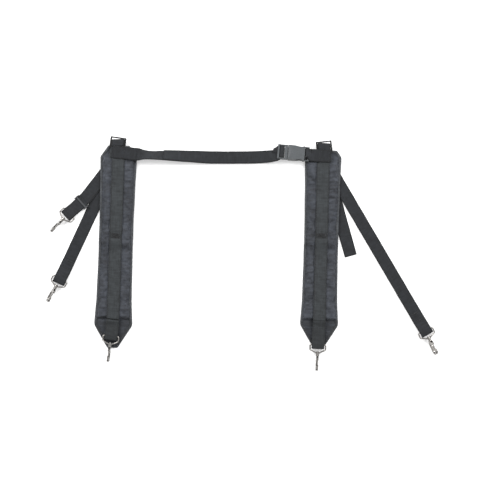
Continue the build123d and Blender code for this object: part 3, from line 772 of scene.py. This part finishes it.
# %% Blow the covers up
def swell(pieces, pressure=4.0, slack=0.05, cap=3.2, frames=20):
    """A short cloth simulation with the seams pinned; no point moves further than cap."""
    scene = bpy.context.scene
    for piece in pieces:
        cloth = piece.modifiers.new("swell", "CLOTH")
        fabric = {
            "quality": 8, "mass": 0.25, "tension_stiffness": 25, "compression_stiffness": 12,
            "shear_stiffness": 8, "bending_stiffness": 0.4, "shrink_min": -slack,
            "use_pressure": True, "uniform_pressure_force": pressure, "vertex_group_mass": "sewn",
        }
        for name, value in fabric.items():
            setattr(cloth.settings, name, value)
        cloth.settings.effector_weights.gravity = 0
        cloth.point_cache.frame_start = 1
        cloth.point_cache.frame_end = frames
    for step in range(1, frames + 1):
        scene.frame_set(step)
    for piece in pieces:
        before = np.array([tuple(v.co) for v in piece.data.vertices])
        view = bpy.context.evaluated_depsgraph_get()
        swollen = piece.evaluated_get(view).data
        after = np.array([tuple(v.co) for v in swollen.vertices])
        moved = after - before
        size = np.linalg.norm(moved, axis=1)
        share = np.minimum(1, cap * mm / np.maximum(size, 1e-9))
        piece.modifiers.clear()
        piece.data.vertices.foreach_set("co", (before + moved * share[:, None]).ravel())
        piece.data.update()
        largest = round(float(size.max()) / mm, 2)
        print(piece.name, "was pushed by up to", largest, "mm, and moves by", cap, "mm at most")
    scene.frame_set(1)


made = [make_cushion(pad) for pad in pads]
cushions = [piece for piece, cover in made]
swell(cushions)

# %% Finish the cushions
ripple_height, wrinkle_height = 1.6, 1.1
strip_clear, edge_clear = 14, 4        # neither comes nearer to the middle or to the edge
fade = 5.0                             # and both fade out over this distance before that

for pad, (piece, cover) in zip(pads, made):
    places = np.array([tuple(v.co) for v in piece.data.vertices])
    for index in range(cover):
        local = Vector(places[index]) / mm - Vector((pad.middle, 0, 0))
        across, along = local.dot(pad.across), local.dot(pad.ahead)
        inside = pad.half(along) - edge_clear - abs(across)
        side = ramp(abs(across), strip_clear, fade) * ramp(inside, 0, fade)
        ripple = noise.noise((across * 0.045, along * 0.085 + across * 0.05, pad.middle))
        wrinkle = noise.noise((across * 0.11, along * 0.24, pad.middle + 9))
        places[index][2] += (ripple * ripple_height + wrinkle * wrinkle_height) * side * mm
    piece.data.vertices.foreach_set("co", places.ravel())
    piece.data.update()
    smooth = piece.modifiers.new("smooth", "SUBSURF")
    smooth.levels = smooth.render_levels = 1
    dress(piece, pad.body, "pad_fabric", *(f"{pad.side}_pad_{part}" for part in ("cover", "foam", "lining")))
print("cushions:", [len(piece.data.polygons) for piece in cushions], "faces")

# %% [markdown]
# ## Edge binding
#
# A folded tape closes the raw edges of cover and lining. It is a thin U in section,
# rounded outside and open inwards, and its stitches pull small dimples into it. The
# tape follows the whole outline, so its section is swept round a closed path.

# %% Binding tape
def outline_of(pad, inset, pitch=2.2, foot_points=9, head_points=28):
    """Points (across, along) round a pad, anticlockwise, a distance inside its edge."""
    low, high = pad_tip + inset, pad.top - inset
    count = int((high - low) / pitch)
    steps = [low + (high - low) * n / count for n in range(count + 1)]
    right = [(pad.half(along) - inset, along) for along in steps]
    foot = [(x, low) for x in np.linspace(-right[0][0], right[0][0], foot_points)[1:-1]]
    head = [(x, high) for x in np.linspace(right[-1][0], -right[-1][0], head_points)[1:-1]]
    return foot + right + head + [(-x, y) for x, y in reversed(right)]


def make_binding(pad, inset=2.4, seam_inset=4.0, seam_height=3.3, dimple=0.12, waver=0.35):
    """The binding, with its underside on the floor or on the back straps, and its seam."""
    path = outline_of(pad, inset)
    section = [(2.5, 0.5), (2.6, 1.4), (2.3, 2.5), (1.4, 3.1), (-0.6, 3.2), (-2.2, 3.0), (-2.6, 2.5),
               (-2.4, 0.4), (-1.4, 0.0), (1.6, 0.0)]
    count, points, travelled = len(path), [], [0.0]
    for n in range(count):
        here, after = Vector(path[n]), Vector(path[(n + 1) % count])
        travelled.append(travelled[-1] + (after - here).length)
    for n in range(count):
        here, before, after = (Vector(path[k % count]) for k in (n, n - 1, n + 1))
        ahead = (after - before).normalized()
        outward = Vector((ahead.y, -ahead.x))
        pulled = dimple * math.cos(travelled[n] * 2 * math.pi / (2 * stitch_pitch))
        aside = waver * noise.noise((travelled[n] * 0.03, pad.middle, 2))
        for out, height in section:
            spot = here + outward * (out + aside)
            rise = height + (pulled if height > 2 else 0)
            points.append(pad.place(spot.x, spot.y, pad.lift(spot.y) + 0.05 + rise))
    faces, uvs = skin(0, count, girth_of(section), travelled, closed=True)
    piece = mesh_piece(f"{pad.side}_pad_binding", points, faces, tape, uvs)
    dress(piece, pad.body, "binding_tape", f"{pad.side}_pad_edge_binding")
    seam = outline_of(pad, seam_inset)
    row = [(pad.place(x, y, pad.lift(y) + seam_height), up) for x, y in seam + seam[:1]]
    stitch_rows(f"{pad.side}_binding_stitches", pad.body, [row])
    return piece


bindings = [make_binding(pad) for pad in pads]
print("bindings:", [piece.name for piece in bindings])

# %% [markdown]
# ## Webbing down the middle of each pad
#
# One strip of webbing does three jobs. At the foot it goes round the bar of the hook
# and back up on itself, along the pad it holds the cover down, and at the head it goes
# round the lower bar of the adjuster. Its path is an upright profile round each bar, with
# a row of places along the pad between them. Two rows of stitches sew it down.

# %% The ends of the face webbing
def tack_middle(pad):
    """The middle of a pad's bar tack, in millimetres."""
    low, high = (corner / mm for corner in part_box(f"{pad.side}_pad_bar_tack"))
    return (low + high) / 2


def foot_profile(reach, crease):
    """From the foot round the hook's bar, and up to where the foam starts."""
    pulled = strip_mid - 1.0 - crease
    profile = [(reach - 24, 3.6), (reach - 12, 3.6), (reach - 5, hook_height - hook_wrap)]
    profile += arc((reach + front_slack, hook_height), hook_wrap, -90, 90)
    profile += [(reach - 4, hook_height + hook_wrap), (reach - 16, 8.0), (13, 6.8)]
    return profile + [(4.0, strip_mid - 1.2), (1.4, pulled), (0.4, pulled), (0, strip_mid)]


def head_profile():
    """Down off the pad and round the adjuster's lower bar."""
    profile = [(20, strip_mid + pad_lift), (11, strip_mid + pad_lift), (3, adjuster_height + bar_wrap)]
    return profile + arc((0, adjuster_height), bar_wrap, 90, 270) + [(6, adjuster_height - bar_wrap)]


# %% Face webbing
def make_face_webbing(pad, turn, crease, tack_half=8.5, wave=0.25, seam_aside=11.2):
    """The whole strip, with its seams; crease is how far the foam's end pulls it in."""
    low_along, high_along = pad.foam_foot - 1.0, pad.bar - 22
    low = pad.place(0, low_along, 0)
    reach, heading = line_between(low, pin_of(f"{pad.side}_front_hook_loop_swing"))
    stations = upright(low, heading, softened(foot_profile(reach, crease), 6))
    tack_at = tack_middle(pad).y
    for along in np.arange(low_along + 1.5, high_along, 3):
        pulled = tack_dip * math.exp(-((along - tack_at) / tack_half) ** 4)
        settle = wave * noise.noise((along * 0.03, pad.middle, 3)) - pulled
        stations.append((pad.place(0, along, pad.lift(along) + strip_mid + settle), pad.across * -1))
    stations += upright(pin_of(f"{pad.side}_adjuster_tilt"), -turn, softened(head_profile(), 3))
    piece = band(f"{pad.side}_pad_strip", stations, strip_webbing, pitch=1.0)
    dress(piece, pad.body, "webbing", f"{pad.side}_pad_face_webbing")
    rows = []
    for across in (-seam_aside, seam_aside):
        rows.append([
            (pad.place(across, along, pad.lift(along) + strip_mid + half_web + 0.1), up)
            for along in np.arange(-128, high_along, 3)
        ])
    stitch_rows(f"{pad.side}_strip_stitches", pad.body, rows)


make_face_webbing(pads[0], left_turn, crease=3.6)
make_face_webbing(pads[1], right_turn, crease=0.2)
print("face webbing made")

# %% [markdown]
# ## Bar tacks
#
# Where a strap has to carry load, the machine sews a dense zigzag band across it. Each
# band is many threads that lie side by side, turning at both edges, so it is modelled
# as long stitches set at a slight slant, packed closely.

# %% Bar tacks
def make_tack(name, body, middle, across, ahead, width, length, pitch=0.75):
    """A zigzag of long stitches, its width across and its length along ahead."""
    rows = []
    for n in range(int(length / pitch)):
        start = middle + ahead * (n * pitch - length / 2) + across * (width / 2 * (-1) ** n)
        end = middle + ahead * ((n + 1) * pitch - length / 2) - across * (width / 2 * (-1) ** n)
        rows.append([(start, up), (end, up)])
    return stitch_rows(name, body, rows, pitch=width + 1, length=width * 0.98, radius=0.36, sink=0.25)


thread_proud = 0.45        # the tack's threads above the webbing under them
for pad in pads:
    middle = tack_middle(pad)
    middle.z = pad_lift + strip_mid + half_web + thread_proud - tack_dip
    tack = make_tack(f"{pad.side}_pad_tack", pad.body, middle, pad.across, pad.ahead, 22.5, 10)
    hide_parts(f"{pad.side}_pad_bar_tack")
print("bar tacks sewn")

# %% [markdown]
# ## Back straps
#
# Each adjuster carries a length of webbing over its middle bar. Both ends of it go down
# under the pad, fan out and run across the floor. The webbing over an adjuster is one
# band too, whose two ends are then moved back to an arc round the pivot, so that the
# straps swing clear of it. A hook strap ends in a hem: it goes round the bar of its hook
# and is sewn back on itself, since the path simply turns round the bar and returns one
# thickness higher.

# %% Webbing over the adjusters
def make_saddle(side, turn, skew):
    """Up from the floor, bulging over the middle bar, and down again; skew turns the bulge."""
    bar = pin_of(f"{side}_adjuster_tilt")
    bar.z = 0
    ahead = way(-turn)
    aside = ahead.cross(up)
    pivot = pin_of(f"{side}_long_strap_swing") - bar
    outer, inner, top = -bar_pitch - bar_wrap, -bar_pitch + bar_wrap, adjuster_height + bar_wrap
    profile = [
        (pivot.dot(ahead), level_1), (outer, level_1), (outer - 0.8, 5.2), (outer - 4.2, 8.4),
        (outer - 5.0, top), (-bar_pitch, top + 0.8), (inner + 5.4, top + 1.9), (inner + 2.8, 9.6),
        (inner + 0.2, 5.2), (inner, level_2), (pivot.dot(ahead), level_2),
    ]
    stations = []
    for middle, across in upright(bar, -turn, softened(profile, 2.4)):
        turned = across.copy()
        turned.rotate(Euler((0, 0, math.radians(skew * ramp(middle.z, 5, 4)))))
        stations.append((middle, turned))
    piece = band(f"{side}_adjuster_web", stations)
    bend_at = inner + 2.5
    for corner in piece.data.vertices:
        spot = corner.co / mm - bar
        along = spot.dot(ahead)
        if spot.z < level_2 + web_thick and along > bend_at:
            off_pivot = spot.dot(aside) - pivot.dot(aside)
            reach = pivot.dot(ahead) - math.sqrt(max(pivot_clear ** 2 - off_pivot ** 2, 0.0))
            share = (reach - bend_at) / (pivot.dot(ahead) - bend_at)
            corner.co += ahead * ((along - bend_at) * (share - 1) * mm)
    dress(piece, f"{side}_back_web_group", "webbing", f"{side}_adjuster_webbing")


make_saddle("left", left_turn, 10.0)
make_saddle("right", right_turn, -10.0)


# %% Straps that end in a hook
def hem_profile(reach, level, hem=42.0):
    """Along the floor, round the hook's bar and back over itself, as far as hem."""
    above = level + web_thick + 0.1
    profile = [(-web_width / 2, level), (reach - 26, level), (reach - 15, level + 0.3),
               (reach - 5, hook_height - hook_wrap)]
    profile += arc((reach + hem_slack, hook_height), hook_wrap, -90, 90)
    profile += [(reach - 4, hook_height + hook_wrap), (reach - 18, above + 0.6), (reach - 24, above),
                (reach - hem, above)]
    return softened(profile, 4.0)


def make_long_strap(side, pivot, level):
    """A long strap from its pivot to its hook, with two bar tacks across its hem."""
    body, name = f"{side}_long_strap_group", f"{side}_long_back_strap"
    bar = pin_of(f"{side}_rear_hook_loop_swing")
    reach, heading = line_between(pivot, bar)
    stations = upright(pivot, heading, hem_profile(reach, level))
    piece = band(f"{side}_long_strap_web", stations, taper=round_end)
    dress(piece, body, "webbing", name)
    ahead = way(heading)
    bar.z = level + web_thick + half_web + 0.25
    for n, distance in enumerate((24, 39), 1):
        middle = bar - ahead * distance
        make_tack(f"{name}_tack_{n}", body, middle, ahead.cross(up), ahead, 22.0, 2.6, pitch=0.8)


left_pivot = pin_of("left_long_strap_swing")
right_pivot = pin_of("right_long_strap_swing")
make_long_strap("left", left_pivot, level_1)
make_long_strap("right", right_pivot, level_2)

# %% The short strap and the loose tail
def make_short_strap(heading=37.6, kink_at=107.0):
    """Flat to the kink, then on to its hook and back through the slider."""
    raised = level_2 + web_thick
    first = [(-web_width / 2, level_2), (kink_at - 19, level_2), (kink_at - 8, raised)]
    stations = upright(left_pivot, heading, softened(first, 4.0))
    kink = left_pivot + way(heading) * kink_at
    reach, heading = line_between(kink, pin_of("left_side_hook_loop_swing"))
    second = [(6, raised), (reach - 11, raised), (reach - 5, hook_height - hook_wrap)]
    second += arc((reach + hem_slack, hook_height), hook_wrap, -90, 90)
    second += [(reach - 3, hook_height + hook_wrap), (reach - 13, raised + web_thick + 0.2),
               (1, raised + web_thick + 0.1)]
    stations += upright(kink, heading, softened(second, 3.0))
    piece = band("left_short_strap_web", stations, taper=round_end)
    dress(piece, "left_short_strap_group", "webbing", "left_short_back_strap")


def make_tail(heading=-15.5, length=204.9, wave=0.08):
    """The free end of the right back strap, with a sealed cut and a slight wave."""
    profile = [(-web_width / 2, level_1)]
    profile += [(d, level_1 + wave - wave * math.cos(d * 0.05)) for d in range(0, 200, 20)]
    profile += [(length, level_1)]
    piece = band("right_strap_tail_web", upright(right_pivot, heading, profile), taper=round_end)
    dress(piece, "right_tail_group", "webbing", "right_back_strap_tail")


make_short_strap()
make_tail()
print("back straps made")

# %% [markdown]
# ## Chest strap
#
# The chest strap isn't flat. It leaves the left pad sewn down, rolls nearly on edge,
# and lies down again before the buckle, where it doubles back on itself and runs on as
# a loose tail. Stations with a roll angle describe it: a place and how far the strap
# leans there. Smooth curves through the stations give the webbing its easy twist.

# %% Rolled bands
def leaning(ahead, degrees):
    """The direction across a strap and the one over its face, when it leans by an angle."""
    beside = Vector((-ahead.y, ahead.x, 0))
    lean = math.radians(degrees)
    return beside * math.cos(lean) - up * math.sin(lean), beside * math.sin(lean) + up * math.cos(lean)


def eased_between(p, q, r, s, t):
    """A smooth step from q to r, in which p and s are their neighbours."""
    bend = (2 * p - 5 * q + 4 * r - s) * t * t + (3 * q - p - 3 * r + s) * t ** 3
    return 0.5 * (2 * q + (r - p) * t + bend)


def rolled(stations, rise=0.0, steps=10):
    """A smooth band through stations of (x, y, height, roll), raised off its own face by rise."""
    rows = [stations[0]] + stations + [stations[-1]]
    path = []
    for four in zip(rows, rows[1:], rows[2:], rows[3:]):
        for n in range(steps):
            path.append([eased_between(*values, n / steps) for values in zip(*four)])
    path.append(stations[-1])
    made = []
    for before, here, after in zip([path[0]] + path, path, path[1:] + [path[-1]]):
        ahead = Vector((after[0] - before[0], after[1] - before[1], 0)).normalized()
        side, over = leaning(ahead, here[3])
        made.append((Vector(here[:3]) + over * rise, side))
    return made


# %% Buckle directions
buckle_roll = 15.0
female_bar_at = 61.5          # the bar in the female half, from the buckle's start
male_bar_at = 10.8            # the webbing round the bar in the male half
buckle_wrap = 2.5             # middle of the webbing from the middle of either bar

buckle_ahead = Vector(joints["buckle_release"]["axis"]).normalized()
buckle_side, buckle_over = leaning(buckle_ahead, buckle_roll)
buckle_start = pin_of("right_pad_fold") - buckle_ahead * female_bar_at
fold = pin_of("left_pad_fold")


def buckle_place(ahead, over):
    """A place in the buckle, ahead from its start and over its middle plane."""
    return buckle_start + buckle_ahead * ahead + buckle_over * over


# %% The long chest strap and its tail
def make_chest_strap():
    """From the left pad to the buckle, round its bar and back as a tail."""
    layer = web_thick + 0.25
    entry = buckle_place(1.5, -layer)
    single = [
        (fold.x - 3, fold.y + 0.4, tab_height, 0), (fold.x + 2.5, fold.y, tab_height - 0.2, 3),
        (fold.x + 12, 197.8, 14.4, 34), (-180, 196.8, 12.0, 44),
    ]
    doubled = [
        (-156.5, 196.5, 10.4, 38), (-125, 195.2, 7.6, 28), (-95, 194.0, 5.2, 18), (-62, 192.9, 2.0, 4),
        (-20, 192.7, 1.6, 1), (20, 193.0, 1.5, 2), (40, 193.8, 2.2, 4), (52, 194.4, 4.2, 10),
        (63, 195.4, 7.2, 20), (70, 196.8, 9.4, 26), (entry.x, entry.y, entry.z, buckle_roll),
    ]
    profile = [(2.5, -layer), (4, -layer - 0.2), (7, -buckle_wrap)]
    profile += arc((male_bar_at, 0), buckle_wrap, -90, 90) + [(6.5, 1.8), (4, 0.3), (2, 0)]
    stations = rolled(single + doubled)
    stations += [(buckle_place(*place), buckle_side) for place in softened(profile, 2.0)]
    stations += reversed(rolled(doubled, layer))
    piece = band("chest_strap_web", stations)
    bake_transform(piece)
    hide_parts("chest_strap")


make_chest_strap()

# %% The ends that are sewn to the pads
def sew_box(name, body, middle, turn, length, width, above):
    """A box of stitches round a sewn end, turned by an angle, above the webbing's middle line."""
    turn = math.radians(turn)
    ahead = Vector((math.cos(turn), math.sin(turn), 0)) * (length / 2)
    beside = Vector((-math.sin(turn), math.cos(turn), 0)) * (width / 2)
    row = []
    for along, aside in ((1, 1), (-1, 1), (-1, -1), (1, -1), (1, 1)):
        corner = middle + ahead * along + beside * aside
        corner.z = tab_height + above
        row.append((corner, up))
    stitch_rows(name, body, [row])


def make_left_tab(turn=-6.0, length=50.0, wave=0.5):
    """The end of the chest strap across the left pad."""
    ahead = Vector((math.cos(math.radians(turn)), math.sin(math.radians(turn)), 0))
    beside = Vector((-ahead.y, ahead.x, 0))
    stations = []
    for distance in np.linspace(-length, -0.4, 14):
        sag = wave * noise.noise((distance * 0.06, 4, 1))
        stations.append((fold + ahead * distance + up * (sag + 0.15), beside))
    piece = band("left_chest_tab_web", stations)
    dress(piece, "left_pad_group", "webbing", "left_chest_tab")
    sew_box("left_tab_stitches", "left_pad_group", fold - ahead * 36, turn, 22, 19.5, half_web + 0.35)


def make_right_chest_strap():
    """Round the female bar, then over to the right pad, flat and sewn."""
    wrapped = [(68, 0.6), (66, -0.6), (64, -1.6)] + arc((57.6, 0), buckle_wrap, 315, 90)[1:]
    stations = [(buckle_place(*place), buckle_side) for place in wrapped]
    lead = buckle_place(65.5, 2.5)
    stations += rolled([
        (lead.x, lead.y, lead.z, buckle_roll), (138, 197.4, 15.3, 7), (144, 196.4, tab_height + 0.1, 2),
        (152, 195.8, tab_height + 0.3, 0), (165, 195.0, tab_height + 0.2, 0),
        (178, 194.3, tab_height + 0.1, 0),
    ])
    piece = band("right_chest_strap_web", stations)
    dress(piece, "right_pad_group", "webbing", "right_chest_strap")
    sewn_at = Vector((165, 195.1, 0))
    sew_box("right_chest_strap_stitches", "right_pad_group", sewn_at, -3.4, 20, 19.5, half_web + 0.4)


make_left_tab()
make_right_chest_strap()
print("chest straps made")

# %% [markdown]
# ## Floor, light and camera
#
# The harness lies on a pale floor under soft light. Two large panels stand high on the
# left and on the right, the left one a little stronger, so the folds of the cloth show
# without hard shadows. The sky is white overhead and dark near the horizon: the dark
# part is there for the plated hooks, which look like metal only if they have both to
# mirror. The camera hangs straight above with a long lens, so that the straps at the
# edges aren't seen from the side.

# %% Floor
def make_floor(size=20000, height=-0.1):
    """A pale sheet just under the harness, so wide that no view sees its edge; it glows a little."""
    finish = Finish(
        "floor_white", Roughness=0.9, Specular_IOR_Level=0.1,
        Emission_Color=(1.0, 1.0, 1.0, 1), Emission_Strength=0.24,
    )
    cloud = finish.noise(finish.own_place(), 3.0, 2)
    finish.feed("Base Color", finish.mix(cloud, (0.74, 0.74, 0.74, 1), (0.77, 0.77, 0.77, 1)))
    corners = [(-size, -size, height), (size, -size, height), (size, size, height), (-size, size, height)]
    floor = mesh_piece("floor", corners, [(0, 1, 2, 3)], finish.material)


make_floor()

# %% Light
def soft_panel(name, place, power, size=1.5, aim=(0.0, 0.02, 0.0)):
    """An area light that faces the harness, its place and size in metres."""
    lamp = bpy.data.lights.new(name, "AREA")
    lamp.energy = power
    lamp.size = size
    panel = bpy.data.objects.new(name, lamp)
    panel.location = place
    panel.rotation_mode = "QUATERNION"
    panel.rotation_quaternion = (Vector(aim) - Vector(place)).to_track_quat("-Z", "Y")
    bpy.context.scene.collection.objects.link(panel)


soft_panel("key_panel", (-1.7, 1.7, 2.0), power=92)
soft_panel("fill_panel", (1.9, 1.3, 2.0), power=78)

# %% A bright sky with a dark horizon
def make_sky(low=0.30, high=0.62, strength=1.1):
    """White overhead and dark low down; low and high are heights on a sky of radius 1."""
    sky = Finish("studio", "worlds", "Background", Strength=strength)
    rise = sky.axis(sky.node("ShaderNodeTexCoord"), 2)
    share = ((rise - low) / (high - low)).clamp()
    sky.feed("Color", sky.mix(share, (0.05, 0.05, 0.06, 1), (1.0, 1.0, 1.0, 1)))
    bpy.context.scene.world = sky.material


make_sky()
bpy.context.scene.view_settings.view_transform = "Standard"

# %% Camera
def make_camera(middle, width, half_height=0.008, lens=100.0):
    """Straight above, with a long lens that takes in a width of the harness, all in metres."""
    eye = bpy.data.cameras.new("camera")
    eye.lens = lens
    eye.sensor_width = 36.0
    eye.clip_end = 60
    camera = bpy.data.objects.new("camera", eye)
    camera.location = (*middle, half_height + width * lens / eye.sensor_width)
    bpy.context.scene.collection.objects.link(camera)
    bpy.context.scene.camera = camera


make_camera(middle=(0.0015, 0.0225), width=0.970)
print("camera at", tuple(round(v, 3) for v in bpy.context.scene.camera.location))

# %% [markdown]
# ## Sizes, and the end
#
# The dressed model should fill the same box as the imported one, give or take a little
# cloth.

# %% Finish
import json
